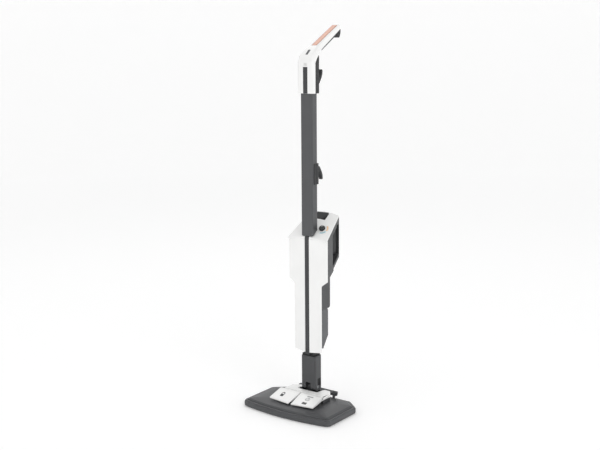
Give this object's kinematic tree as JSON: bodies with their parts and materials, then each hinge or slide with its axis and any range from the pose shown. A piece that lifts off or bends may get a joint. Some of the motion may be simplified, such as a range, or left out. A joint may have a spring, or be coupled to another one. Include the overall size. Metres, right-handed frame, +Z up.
{
  "type": "steam mop",
  "caption": "Upright steam mop with a flat floor head, foot pedals, jointed neck, square tube, cable hooks, bent grip handle and a docked portable steam unit.",
  "frame": {"origin": "on the floor, at the sole plate's lower face, under the middle of the tube", "axes": "+Z up along the tube when the mop stands upright, +X across the floor head, -Y towards the head's bowed front edge, +Y towards the person who holds the grip"},
  "size_m": [0.32, 0.2964, 1.1478],
  "materials": {
    "charcoal_plastic": "satin moulded",
    "dark_plastic": "satin moulded",
    "black_plastic": "fine texture",
    "white_plastic": "gloss moulded",
    "pale_plastic": "satin moulded",
    "copper_trim": "satin copper tone",
    "steel": "brushed",
    "tube_paint": "satin anodised look",
    "black_rubber": "matt",
    "smoked_plastic": "smoked gloss",
    "display_plastic": "gloss",
    "brass": "machined",
    "circuit_laminate": "satin"
  },
  "bodies": {
    "floor_head": {"sole_plate": "dark_plastic", "head_base": "charcoal_plastic", "head_top": "charcoal_plastic", "centre_cover": "white_plastic", "steam_manifold": "black_plastic", "manifold_hose": "black_rubber", "swivel_bracket": "black_plastic", "swivel_pin": "steel", "pedal_pin": "steel", "rear_pedal_pin": "steel", "left_pedal_spring": "steel", "right_pedal_spring": "steel", "sole_screw_1": "steel", "sole_screw_2": "steel", "sole_screw_3": "steel", "sole_screw_4": "steel"},
    "left_pedal": {"left_pedal": "white_plastic"},
    "right_pedal": {"right_pedal": "white_plastic", "mode_window": "display_plastic"},
    "rear_pedal": {"rear_pedal": "dark_plastic"},
    "yoke": {"yoke": "black_plastic", "tilt_pin": "steel"},
    "mast": {"neck_housing": "charcoal_plastic", "neck_seal": "black_rubber", "spine": "dark_plastic", "steam_pipe": "steel", "steam_receiver": "black_rubber", "main_tube": "tube_paint", "lower_cable_hook": "black_plastic", "handle_front_shell": "white_plastic", "handle_rear_shell": "black_plastic", "grip_inlay": "copper_trim", "collar_strip": "dark_plastic", "status_indicator": "pale_plastic", "bend_lens": "black_plastic", "trigger_pin": "steel", "trigger_spring": "steel", "trigger_switch": "pale_plastic", "grip_end_cap": "black_plastic"},
    "steam_trigger": {"steam_trigger": "black_plastic"},
    "upper_cable_hook": {"upper_cable_hook": "black_plastic"},
    "control_rod": {"control_rod": "pale_plastic"},
    "portable_unit": {"front_shell_left": "white_plastic", "front_shell_right": "white_plastic", "top_shell": "white_plastic", "casing_left": "charcoal_plastic", "casing_right": "charcoal_plastic", "boiler": "steel", "pump": "brass", "circuit_board": "circuit_laminate", "outlet_nozzle": "brass", "cord_gland": "black_rubber"},
    "release_button": {"release_button": "black_plastic"},
    "dock_latch": {"dock_latch": "black_plastic"},
    "steam_knob": {"steam_knob": "black_plastic"},
    "hand_trigger": {"hand_trigger": "black_plastic"},
    "water_tank": {"water_tank": "smoked_plastic"},
    "tank_cap": {"tank_cap": "black_plastic"}
  },
  "joints": [
    {"name": "neck_swivel", "type": "hinge", "parent": "floor_head", "child": "yoke", "pos_m": [0, 0, 0.04], "axis": [0, 1, 0], "range_deg": [-25, 25]},
    {"name": "neck_tilt", "type": "hinge", "parent": "yoke", "child": "mast", "pos_m": [0, 0.0056, 0.058], "axis": [-1, 0, 0], "range_deg": [0, 55]},
    {"name": "left_pedal_press", "type": "hinge", "parent": "floor_head", "child": "left_pedal", "pos_m": [0, -0.046, 0.046], "axis": [1, 0, 0], "range_deg": [0, 2.5], "stiffness_Nm_per_rad": 6, "springref_deg": -3.44},
    {"name": "right_pedal_press", "type": "hinge", "parent": "floor_head", "child": "right_pedal", "pos_m": [0, -0.046, 0.046], "axis": [1, 0, 0], "range_deg": [0, 2.5], "stiffness_Nm_per_rad": 6, "springref_deg": -3.44},
    {"name": "rear_pedal_press", "type": "hinge", "parent": "floor_head", "child": "rear_pedal", "pos_m": [0, 0.035, 0.035], "axis": [-1, 0, 0], "range_deg": [0, 8], "stiffness_Nm_per_rad": 4, "springref_deg": -4.58},
    {"name": "trigger_squeeze", "type": "hinge", "parent": "mast", "child": "steam_trigger", "pos_m": [0, 0.122, 1.1247], "axis": [-1, 0, 0], "range_deg": [0, 4], "stiffness_Nm_per_rad": 2, "springref_deg": -6.88},
    {"name": "control_rod_slide", "type": "slide", "parent": "mast", "child": "control_rod", "axis": [0, 0, -1], "range_m": [0, 0.003]},
    {"name": "hook_swivel", "type": "hinge", "parent": "mast", "child": "upper_cable_hook", "pos_m": [0, 0.0163, 0.9918], "axis": [0, 1, 0], "range_deg": [0, 180]},
    {"name": "unit_dock", "type": "slide", "parent": "mast", "child": "portable_unit", "axis": [0, 1, 0], "range_m": [0, 0.12]},
    {"name": "release_press", "type": "slide", "parent": "portable_unit", "child": "release_button", "axis": [0, 0, -1], "range_m": [0, 0.003], "stiffness_N_per_m": 400, "springref_m": -0.003},
    {"name": "latch_slide", "type": "slide", "parent": "portable_unit", "child": "dock_latch", "axis": [0, 1, 0], "range_m": [0, 0.003]},
    {"name": "knob_turn", "type": "hinge", "parent": "portable_unit", "child": "steam_knob", "pos_m": [0.033, 0.02, 0.5479], "axis": [0, -0.5843, 0.8115], "range_deg": [0, 270]},
    {"name": "hand_trigger_squeeze", "type": "hinge", "parent": "portable_unit", "child": "hand_trigger", "pos_m": [0, 0.058, 0.5455], "axis": [1, 0, 0], "range_deg": [0, 4.5], "stiffness_Nm_per_rad": 1, "springref_deg": -5.73},
    {"name": "tank_slide", "type": "slide", "parent": "portable_unit", "child": "water_tank", "axis": [0, 1, 0], "range_m": [0, 0.06]},
    {"name": "cap_turn", "type": "hinge", "parent": "water_tank", "child": "tank_cap", "pos_m": [0, 0.027, 0.2503], "axis": [0, 1, 0], "range_deg": [0, 90]}
  ],
  "couplings": [
    {"joint": "control_rod_slide", "follows": "trigger_squeeze", "m_per_rad": 0.042},
    {"joint": "latch_slide", "follows": "release_press", "ratio": 1}
  ]
}
